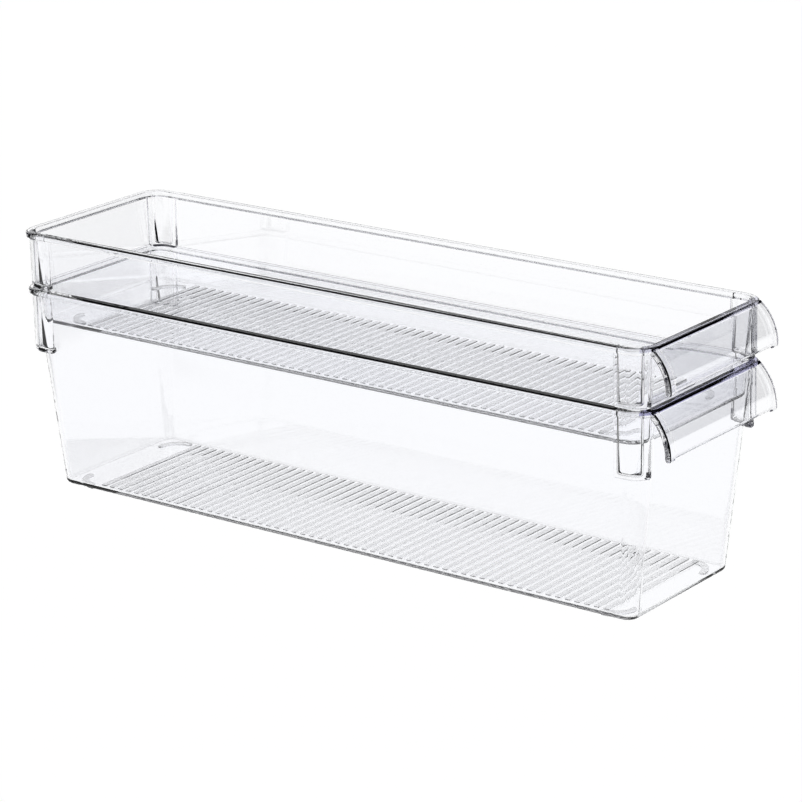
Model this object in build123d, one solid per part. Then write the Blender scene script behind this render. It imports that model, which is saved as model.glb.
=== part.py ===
from build123d import *
import os
from math import atan2, degrees

# A pair of clear fridge bins, a shallow one nested in the top of a deep one.
# Millimetres, +Z up. The origin is on the floor, under the middle of the overall box.
# +X is the end with the pull lips, X is the long way and Y the short way.

# ---------------------------------------------------------------- driving dimensions
OVERALL_LENGTH = 364.6      # back of the rim to the tip of the pull lip
WIDTH = 100.0               # across the rim
DEEP_HEIGHT = 100.0         # deep bin, feet to rim
SHALLOW_HEIGHT = 45.6       # shallow bin, feet to rim
NEST_STEP = 27.7            # how far the shallow rim stands above the deep rim
WALL = 1.6
FLOOR = 1.8
FOOT_HEIGHT = 0.8
SIDE_DRAFT = 0.070          # how far a long wall leans in for each millimetre of depth
END_DRAFT = 0.102           # the same for the end walls

RIM_OVERHANG = 2.6          # rim bead beyond the top of the wall
RIM_HEIGHT = 3.2
RIM_RADIUS = 11.5           # rim corners, seen from above
TOP_RADIUS = 10.0           # wall corners at the rim
FLOOR_RADIUS = 6.2          # wall corners at the floor of the deep bin

LIP_REACH = 8.6             # pull lip beyond the rim
LIP_WIDTH = 88.0
LIP_THICKNESS = 2.2
LIP_ROOT = 1.1              # length of the lip's curve buried in the rim
LIP_BAND_WIDTH = 4.0        # raised band down each side of the lip
LIP_BAND_RAISE = 0.9
LIP_TOP_GAP = 0.9           # the lip leaves the rim this far below its top
DEEP_LIP_DROP = 20.0
SHALLOW_LIP_DROP = 18.5

POST_INSET = 1.8            # corner posts stand this far inside the rim's edge
POST_ALONG = 18.0           # post edge from the end of the rim, along X
POST_ACROSS = 9.5           # post edge from the side of the rim, along Y
DEEP_POST_DEPTH = 31.5      # bottom of the posts below the rim

RIB_PITCH = 5.1
RIB_WIDTH = 2.8
RIB_HEIGHT = 0.3
RIB_END_RADIUS = 0.6
RIB_SPAN = 291.0            # ribbed length of the floor
RIB_CENTRE = 4.0            # middle of the ribbing, from the middle of the rim
RIB_MARGIN = 3.0            # rib end to the inner wall

FOOT_RADIUS = 12.0
FOOT_WIDTH = 3.2
FOOT_SWEEP = 84.0
FOOT_CORNER_X = 30.0        # foot arc's centre from the end of the rim
FOOT_CORNER_Y = 24.0        # foot arc's centre from the side of the rim

OUTER_FILLET = 2.2
INNER_FILLET = 1.0
RIM_FILLET = 1.3
POST_FILLET = 1.4
LIP_FILLET = 0.8
MOUTH_FILLET = 0.5

# ---------------------------------------------------------------- derived
RIM_LENGTH = OVERALL_LENGTH - LIP_REACH
RIM_X = -LIP_REACH / 2                      # middle of the rim rectangle
HALF_LENGTH = RIM_LENGTH / 2
HALF_WIDTH = WIDTH / 2
CORNER_DRAFT = (TOP_RADIUS - FLOOR_RADIUS) / DEEP_HEIGHT
TINY = 0.02                                 # overlap that joins pieces which would only touch


def rounded_plate(inset, radius, low, high):
    """Upright slab with rounded corners, inset from the rim's outline."""
    outline = RectangleRounded(RIM_LENGTH - 2 * inset, WIDTH - 2 * inset, radius)
    return extrude(Pos(RIM_X, 0, low) * outline, high - low)


def drafted_block(inset, rim_z, low, high):
    """Block whose sides follow the leaning walls, inset from their outer face."""
    sections = []
    for z in (low, high):
        depth = rim_z - z
        half_x = HALF_LENGTH - RIM_OVERHANG - inset - END_DRAFT * depth
        half_y = HALF_WIDTH - RIM_OVERHANG - inset - SIDE_DRAFT * depth
        radius = TOP_RADIUS - inset - CORNER_DRAFT * depth
        sections.append(Pos(RIM_X, 0, z) * RectangleRounded(2 * half_x, 2 * half_y, radius))
    return loft(sections, ruled=True)


def post_outline(inset, sx, sy):
    """One corner of the outline just inside the rim, seen from above."""
    half_x = HALF_LENGTH - POST_INSET - inset
    half_y = HALF_WIDTH - POST_INSET - inset
    step_x = HALF_LENGTH - POST_ALONG + inset
    step_y = HALF_WIDTH - POST_ACROSS + inset
    outline = RectangleRounded(2 * half_x, 2 * half_y, RIM_RADIUS - POST_INSET - inset)
    corner = Pos(sx * (step_x + POST_ALONG / 2), sy * (step_y + POST_ACROSS / 2)) * Rectangle(
        POST_ALONG, POST_ACROSS)
    outline = outline & corner
    shoulders = [Vector(sx * step_x, sy * half_y), Vector(sx * half_x, sy * step_y)]
    ends = []
    for shoulder in shoulders:
        ends.append(outline.vertices().sort_by_distance(shoulder)[0])
    return fillet(ends, POST_FILLET)


def corner_posts(inset, low, high):
    """Four upright posts that fill the corners under the rim."""
    posts = []
    for sx in (-1, 1):
        for sy in (-1, 1):
            post = extrude(Pos(RIM_X, 0, low) * post_outline(inset, sx, sy), high - low)
            base = post.faces().sort_by(Axis.Z)[0].edges()
            posts.append(fillet(base, POST_FILLET))
    return posts


def rim_bead(rim_z):
    """Thick rounded edge around the mouth."""
    bead = rounded_plate(0, RIM_RADIUS, rim_z - RIM_HEIGHT, rim_z)
    top = bead.faces().sort_by(Axis.Z)[-1].edges()
    bottom = bead.faces().sort_by(Axis.Z)[0].edges()
    return fillet(top + bottom, RIM_FILLET)


def lip_profile(rim_z, drop, recess):
    """Side view of the pull lip: an arc out and down to an upright, with a rounded lower edge."""
    rise = drop - LIP_TOP_GAP
    radius = (rise ** 2 + LIP_REACH ** 2) / (2 * LIP_REACH)
    centre = (RIM_X + HALF_LENGTH + LIP_REACH - radius, rim_z - drop)
    sweep = degrees(atan2(rise, radius - LIP_REACH) + LIP_ROOT / radius)
    deep = LIP_BAND_RAISE + LIP_THICKNESS
    outer = CenterArc(centre, radius - recess, 0, sweep)
    inner = CenterArc(centre, radius - deep, 0, sweep)
    tip_middle = ((inner @ 0) + (outer @ 0)) / 2 - Vector(0, (deep - recess) / 2)
    tip = ThreePointArc(inner @ 0, tip_middle, outer @ 0)
    root = Line(inner @ 1, outer @ 1)
    return make_face([outer, inner, tip, root])


def lip_slice(rim_z, drop, recess, y_low, y_high):
    """A length of the lip between two places across the bin."""
    side_view = Plane(origin=(0, y_high, 0), x_dir=(1, 0, 0), z_dir=(0, -1, 0))
    return extrude(side_view * lip_profile(rim_z, drop, recess), y_high - y_low)


def lip_band(rim_z, drop, side):
    """Raised band down one side of the lip, rounded where a finger meets it."""
    ends = sorted((side * LIP_WIDTH / 2, side * (LIP_WIDTH / 2 - LIP_BAND_WIDTH)))
    band = lip_slice(rim_z, drop, 0, ends[0], ends[1])
    outboard = band.faces().sort_by(Axis.Y)[-1 if side > 0 else 0]
    return fillet(outboard.edges().filter_by(GeomType.CIRCLE), LIP_FILLET)


def pull_lip(rim_z, drop):
    """Curved finger pull on the +X end: a thin panel with a raised band down each side."""
    inside = LIP_WIDTH / 2 - LIP_BAND_WIDTH
    panel = lip_slice(rim_z, drop, LIP_BAND_RAISE, -inside - TINY, inside + TINY)
    return [panel, lip_band(rim_z, drop, -1), lip_band(rim_z, drop, 1)]


def floor_ribs(rim_z, floor_z):
    """Low bars across the inside of the floor."""
    inner_side = RIM_OVERHANG + WALL + SIDE_DRAFT * (rim_z - floor_z)
    length = WIDTH - 2 * (inner_side + RIB_MARGIN)
    count = int(RIB_SPAN / RIB_PITCH) + 1
    ribs = []
    for i in range(count):
        x = RIM_X + RIB_CENTRE + (i - (count - 1) / 2) * RIB_PITCH
        bar = extrude(RectangleRounded(RIB_WIDTH, length, RIB_END_RADIUS), RIB_HEIGHT + TINY)
        ribs.append(Pos(x, 0, floor_z - TINY) * bar)
    return ribs


def corner_feet(base_z):
    """Four raised arcs under the floor, each bulging towards its corner."""
    feet = []
    for sx in (-1, 1):
        for sy in (-1, 1):
            x = RIM_X + sx * (HALF_LENGTH - FOOT_CORNER_X)
            y = sy * (HALF_WIDTH - FOOT_CORNER_Y)
            middle = 45 if sx * sy > 0 else -45
            middle = middle if sx > 0 else middle + 180
            feet.append(Pos(x, y, base_z) * foot_arc(middle))
    return feet


def foot_arc(middle):
    """One foot: a bar bent round an arc, with round ends."""
    radius = FOOT_RADIUS - FOOT_WIDTH / 2
    start = middle - FOOT_SWEEP / 2
    path = CenterArc((0, 0), radius, start, FOOT_SWEEP)
    outline = SlotArc(path, FOOT_WIDTH)
    return extrude(outline, FOOT_HEIGHT + TINY)


def make_bin(height, base_z, post_depth, lip_drop):
    """One bin: a thin leaning shell with a rim, corner posts, lip, ribs and feet."""
    rim_z = base_z + height
    floor_low = base_z + FOOT_HEIGHT
    floor_top = floor_low + FLOOR
    post_low = rim_z - post_depth

    outer = drafted_block(0, rim_z, floor_low, rim_z)
    outer = fillet(outer.faces().sort_by(Axis.Z)[0].edges(), OUTER_FILLET)
    cavity = drafted_block(WALL, rim_z, floor_top, rim_z + 2)
    cavity = fillet(cavity.faces().sort_by(Axis.Z)[0].edges(), INNER_FILLET)

    body = outer + rim_bead(rim_z)
    for post in corner_posts(0, post_low, rim_z - RIM_HEIGHT / 2):
        body += post
    for piece in pull_lip(rim_z, lip_drop):
        body += piece
    body -= cavity
    mouth = body.faces().filter_by(Plane.XY).sort_by(Axis.Z)[-1]
    body = fillet(mouth.inner_wires()[0].edges(), MOUTH_FILLET)
    for hollow in corner_posts(WALL, post_low + WALL, rim_z + 2):
        body -= hollow
    body += floor_ribs(rim_z, floor_top)
    body += corner_feet(base_z)
    return body


def main():
    os.makedirs("parts", exist_ok=True)
    deep = make_bin(DEEP_HEIGHT, 0, DEEP_POST_DEPTH, DEEP_LIP_DROP)
    shallow_base = DEEP_HEIGHT + NEST_STEP - SHALLOW_HEIGHT
    shallow = make_bin(SHALLOW_HEIGHT, shallow_base, NEST_STEP, SHALLOW_LIP_DROP)
    for name, solid in (("deep_bin", deep), ("shallow_bin", shallow)):
        print(name, len(solid.solids()), "solid", round(solid.volume), "mm3", solid.bounding_box())
        export_step(solid, f"parts/{name}.step")


main()
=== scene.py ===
from math import cos, radians, sin

import bpy
from mathutils import Matrix, Vector

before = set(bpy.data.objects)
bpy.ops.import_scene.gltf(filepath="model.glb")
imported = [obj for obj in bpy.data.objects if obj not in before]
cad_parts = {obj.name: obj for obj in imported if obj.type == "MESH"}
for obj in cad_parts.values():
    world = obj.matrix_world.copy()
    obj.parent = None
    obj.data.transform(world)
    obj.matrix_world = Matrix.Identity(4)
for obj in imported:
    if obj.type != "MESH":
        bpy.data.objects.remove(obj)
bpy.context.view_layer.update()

# ------------------------------------------------------------------ camera
AZIMUTH = radians(37.09)
ELEVATION = radians(18.01)
ROLL = radians(-1.12)
DISTANCE = 1.5422
TARGET = Vector((0.0080, 0.0, 0.0632))
LENS = 150.24
FAR_CLIP = 100


def make_camera():
    back = Vector((sin(AZIMUTH) * cos(ELEVATION), -cos(AZIMUTH) * cos(ELEVATION), sin(ELEVATION)))
    right = Vector((cos(AZIMUTH), sin(AZIMUTH), 0.0))
    up = back.cross(right)
    rolled_right = right * cos(ROLL) + up * sin(ROLL)
    rolled_up = up * cos(ROLL) - right * sin(ROLL)
    data = bpy.data.cameras.new("photo_camera")
    data.lens = LENS
    data.clip_end = FAR_CLIP
    camera = bpy.data.objects.new("photo_camera", data)
    camera.matrix_world = Matrix.Translation(TARGET + back * DISTANCE) @ Matrix(
        (rolled_right, rolled_up, back)).transposed().to_4x4()
    bpy.context.scene.collection.objects.link(camera)
    bpy.context.scene.camera = camera


# ------------------------------------------------------------------ node helpers
def feed(tree, slot, value):
    """Give an input a socket to follow, or a value of its own."""
    if isinstance(value, bpy.types.NodeSocket):
        tree.links.new(value, slot)
    else:
        slot.default_value = value


def math_node(tree, operation, *values, clamp=False):
    """One Math node. Its values are sockets or numbers."""
    node = tree.nodes.new("ShaderNodeMath")
    node.operation = operation
    node.use_clamp = clamp
    for slot, value in zip(node.inputs, values):
        feed(tree, slot, value)
    return node.outputs[0]


def mix_colours(tree, factor, first, second):
    """Mix of two colours. Each is a socket or four numbers."""
    node = tree.nodes.new("ShaderNodeMix")
    node.data_type = "RGBA"
    feed(tree, node.inputs["Factor"], factor)
    feed(tree, node.inputs["A"], first)
    feed(tree, node.inputs["B"], second)
    return node.outputs["Result"]


def noise_node(tree, vector, scale):
    """Smooth noise over a vector."""
    node = tree.nodes.new("ShaderNodeTexNoise")
    node.inputs["Scale"].default_value = scale
    tree.links.new(vector, node.inputs["Vector"])
    return node.outputs["Fac"]


def ramp_node(tree, value, stops):
    """A grey ramp through (position, brightness) stops."""
    node = tree.nodes.new("ShaderNodeValToRGB")
    elements = node.color_ramp.elements
    while len(elements) < len(stops):
        elements.new(0.5)
    for element, (position, level) in zip(elements, stops):
        element.position = position
        element.color = (level, level, level, 1)
    tree.links.new(value, node.inputs["Fac"])
    return node.outputs["Color"]


def smooth_step(tree, value, start, end):
    """0 up to start, 1 after end, smooth between."""
    node = tree.nodes.new("ShaderNodeMapRange")
    node.interpolation_type = "SMOOTHSTEP"
    tree.links.new(value, node.inputs["Value"])
    node.inputs["From Min"].default_value = start
    node.inputs["From Max"].default_value = end
    return node.outputs["Result"]


# ------------------------------------------------------------------ studio
# Light all round, as (degrees to either side of the backdrop, brightness): the outer part of the
# table has one dimmer band a side, and the room has white panels with dark flags between them.
TABLE_EDGE = ((0, 1.0), (60, 1.0), (64, 0.5), (74, 0.5), (78, 1.0))
ROOM = (
    (0, 1.0), (38, 1.0), (46, 0.0), (98, 0.0), (102, 1.0),
    (112, 1.0), (116, 0.0), (165, 0.0), (175, 1.0))
BACKDROP = AZIMUTH + radians(90)                 # straight ahead of the camera
CEILING = ((0.0, 1.0), (0.60, 1.0), (0.72, 0.0))  # (sine of the height above the horizon, brightness)
WHITE = (1.0, 1.0, 1.0, 1.0)
FLAG = (0.010, 0.009, 0.030, 1)
FLOOR_HALF = 3.0
FLOOR_GAP = 0.0003
FLOOR_PAINT = (0.02, 0.02, 0.02, 1)
EVEN_RADIUS = 0.25                               # the table glows evenly out to here
BANDED_RADIUS = 0.38


def panel_light(tree, vector, panels):
    """Brightness of a ring of panels and flags in the direction of a vector."""
    turn = tree.nodes.new("ShaderNodeMapping")
    turn.inputs["Rotation"].default_value[2] = -BACKDROP
    tree.links.new(vector, turn.inputs["Vector"])
    dial = tree.nodes.new("ShaderNodeTexGradient")
    dial.gradient_type = "RADIAL"
    tree.links.new(turn.outputs[0], dial.inputs["Vector"])
    off = math_node(tree, "SUBTRACT", dial.outputs["Fac"], 0.5)
    half_turn = math_node(tree, "MULTIPLY", math_node(tree, "ABSOLUTE", off), 2.0)
    return ramp_node(tree, half_turn, [(angle / 180, level) for angle, level in panels])


def seen_light(tree, brightness):
    """The light that the object gets, but plain white where the camera looks straight at it."""
    panels = mix_colours(tree, brightness, FLAG, WHITE)
    path = tree.nodes.new("ShaderNodeLightPath")
    return mix_colours(tree, path.outputs["Is Camera Ray"], panels, WHITE)


def make_world():
    """Panels and flags all round, under a dark ceiling."""
    world = bpy.data.worlds.new("studio")
    bpy.context.scene.world = world
    world.use_nodes = True
    tree = world.node_tree
    tree.nodes.clear()
    out = tree.nodes.new("ShaderNodeOutputWorld")
    background = tree.nodes.new("ShaderNodeBackground")
    where = tree.nodes.new("ShaderNodeTexCoord")
    split = tree.nodes.new("ShaderNodeSeparateXYZ")
    tree.links.new(where.outputs["Generated"], split.inputs[0])
    ceiling = ramp_node(tree, split.outputs["Z"], CEILING)
    panels = panel_light(tree, where.outputs["Generated"], ROOM)
    light = math_node(tree, "MULTIPLY", ceiling, panels)
    tree.links.new(seen_light(tree, light), background.inputs["Color"])
    tree.links.new(background.outputs[0], out.inputs[0])


def make_floor():
    """A plain white floor that glows evenly near the object, as a light table does."""
    corners = [(x * FLOOR_HALF, y * FLOOR_HALF, 0) for x, y in ((-1, -1), (1, -1), (1, 1), (-1, 1))]
    mesh = bpy.data.meshes.new("floor")
    mesh.from_pydata(corners, [], [(0, 1, 2, 3)])
    floor = bpy.data.objects.new("floor", mesh)
    floor.location = (0, 0, -FLOOR_GAP)
    bpy.context.scene.collection.objects.link(floor)
    material = bpy.data.materials.new("floor")
    material.use_nodes = True
    tree = material.node_tree
    shader = tree.nodes["Principled BSDF"]
    shader.inputs["Base Color"].default_value = FLOOR_PAINT
    shader.inputs["Roughness"].default_value = 1.0
    shader.inputs["Specular IOR Level"].default_value = 0.0
    where = tree.nodes.new("ShaderNodeTexCoord")
    distance = tree.nodes.new("ShaderNodeVectorMath")
    distance.operation = "LENGTH"
    tree.links.new(where.outputs["Object"], distance.inputs[0])
    far = smooth_step(tree, distance.outputs["Value"], EVEN_RADIUS, BANDED_RADIUS)
    dark = math_node(tree, "SUBTRACT", 1.0, panel_light(tree, where.outputs["Object"], TABLE_EDGE))
    light = math_node(tree, "SUBTRACT", 1.0, math_node(tree, "MULTIPLY", dark, far))
    tree.links.new(seen_light(tree, light), shader.inputs["Emission Color"])
    shader.inputs["Emission Strength"].default_value = 1.0
    mesh.materials.append(material)


# ------------------------------------------------------------------ materials
RIM_VIOLET_SHADE_DEPTH = {"deep_bin": 0.85, "shallow_bin": 0.45}      # how deep the painted violet shade on each rim's end is
RIB_TOP = 0.0029                                 # above the soles of a bin's feet
LEVEL_SLACK = 0.00012
NEARLY_FLAT = 0.9                                # least upright part of the normal of a level face
RIM_TOP_DEPTH = 0.0016
RIM_TOP_SLACK = 0.0001
RIM_END = (0.1690, 0.1738)                       # the rim along X at the lip end

PLASTIC_IOR = 1.57
COOLER = (0.982, 0.985, 0.997, 1)
CLEARER = (0.993, 0.994, 1.0, 1)
# grey painted shade laid over the frosted rib tops and foot soles
FROST_GREY_SHADE = (0.915, 0.918, 0.928, 1)
SATIN_ROUGHNESS = 0.25
# dark violet painted shade for the rim top at the lip end
VIOLET_SHADE = (0.22, 0.21, 0.44, 1)
CLOUD_SCALE = 9.0
RIPPLE_SCALE = 40.0
RIPPLE_STRENGTH = 0.02
RIPPLE_DEPTH = 0.0006


def between(tree, value, low, high):
    """1 from low to high, 0 elsewhere."""
    above = math_node(tree, "GREATER_THAN", value, low)
    return math_node(tree, "MULTIPLY", above, math_node(tree, "LESS_THAN", value, high))


def sum_of(tree, values):
    """All the sockets added up."""
    total = values[0]
    for value in values[1:]:
        total = math_node(tree, "ADD", total, value)
    return total


def heights_of(name):
    """Height of the soles and of the rim of a bin."""
    heights = [corner[2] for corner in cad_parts[name].bound_box]
    return min(heights), max(heights)


def face_masks(tree, where):
    """Two masks: the frosted rib tops and foot soles, which also carry a grey painted shade, and the
    painted violet shade on the top of the rim at the lip end.
    """
    place = tree.nodes.new("ShaderNodeSeparateXYZ")
    tree.links.new(where.outputs["Object"], place.inputs[0])
    facing = tree.nodes.new("ShaderNodeSeparateXYZ")
    tree.links.new(where.outputs["Normal"], facing.inputs[0])
    height = place.outputs["Z"]
    level = math_node(tree, "GREATER_THAN", math_node(tree, "ABSOLUTE", facing.outputs["Z"]), NEARLY_FLAT)
    frosted = []
    ends = []
    for name, depth in RIM_VIOLET_SHADE_DEPTH.items():
        soles, rim = heights_of(name)
        for z in (soles, soles + RIB_TOP):
            frosted.append(math_node(tree, "COMPARE", height, z, LEVEL_SLACK))
        # the rim top band that carries the painted violet shade, at a depth given per bin
        rim_top = between(tree, height, rim - RIM_TOP_DEPTH, rim + RIM_TOP_SLACK)
        ends.append(math_node(tree, "MULTIPLY", rim_top, depth))
    # frosted faces: real roughness, plus a grey painted shade in the colour
    frost_and_shade = math_node(tree, "MULTIPLY", sum_of(tree, frosted), level, clamp=True)
    violet_shade = math_node(tree, "MULTIPLY", sum_of(tree, ends), between(tree, place.outputs["X"], *RIM_END))
    return frost_and_shade, violet_shade


def clear_plastic():
    """Polished clear plastic, faintly cool, with slightly frosted ribs and feet that carry a grey painted
    shade, and a painted violet shade at the rim's lip end.
    """
    material = bpy.data.materials.new("clear_plastic")
    material.use_nodes = True
    tree = material.node_tree
    shader = tree.nodes["Principled BSDF"]
    shader.inputs["IOR"].default_value = PLASTIC_IOR
    shader.inputs["Transmission Weight"].default_value = 1.0
    where = tree.nodes.new("ShaderNodeTexCoord")
    frost_and_shade, violet_shade = face_masks(tree, where)

    cloud = noise_node(tree, where.outputs["Object"], CLOUD_SCALE)
    colour = mix_colours(tree, cloud, COOLER, CLEARER)
    # paints the grey shade over the frosted faces; the roughness below is the frost itself
    colour = mix_colours(tree, frost_and_shade, colour, FROST_GREY_SHADE)
    # paints the violet shade over the rim top at the lip end
    colour = mix_colours(tree, violet_shade, colour, VIOLET_SHADE)
    tree.links.new(colour, shader.inputs["Base Color"])
    tree.links.new(math_node(tree, "MULTIPLY", frost_and_shade, SATIN_ROUGHNESS), shader.inputs["Roughness"])

    bump = tree.nodes.new("ShaderNodeBump")
    bump.inputs["Strength"].default_value = RIPPLE_STRENGTH
    bump.inputs["Distance"].default_value = RIPPLE_DEPTH
    tree.links.new(noise_node(tree, where.outputs["Object"], RIPPLE_SCALE), bump.inputs["Height"])
    tree.links.new(bump.outputs["Normal"], shader.inputs["Normal"])
    return material


# ------------------------------------------------------------------ scene
CLEAR_BOUNCES = 48                               # light crosses many clear walls before it is gone
GLOSSY_BOUNCES = 24
DIFFUSE_BOUNCES = 4
CONTRAST_GAMMA = 0.62


def set_light_paths(cycles):
    """Let light pass through every wall of both bins."""
    cycles.max_bounces = CLEAR_BOUNCES
    cycles.transmission_bounces = CLEAR_BOUNCES
    cycles.glossy_bounces = GLOSSY_BOUNCES
    cycles.diffuse_bounces = DIFFUSE_BOUNCES


plastic = clear_plastic()
for name in ("deep_bin", "shallow_bin"):
    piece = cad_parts[name]
    piece.data.materials.clear()
    piece.data.materials.append(plastic)
make_floor()
make_world()
make_camera()
set_light_paths(bpy.context.scene.cycles)
view = bpy.context.scene.view_settings
view.view_transform = "Standard"
view.gamma = CONTRAST_GAMMA
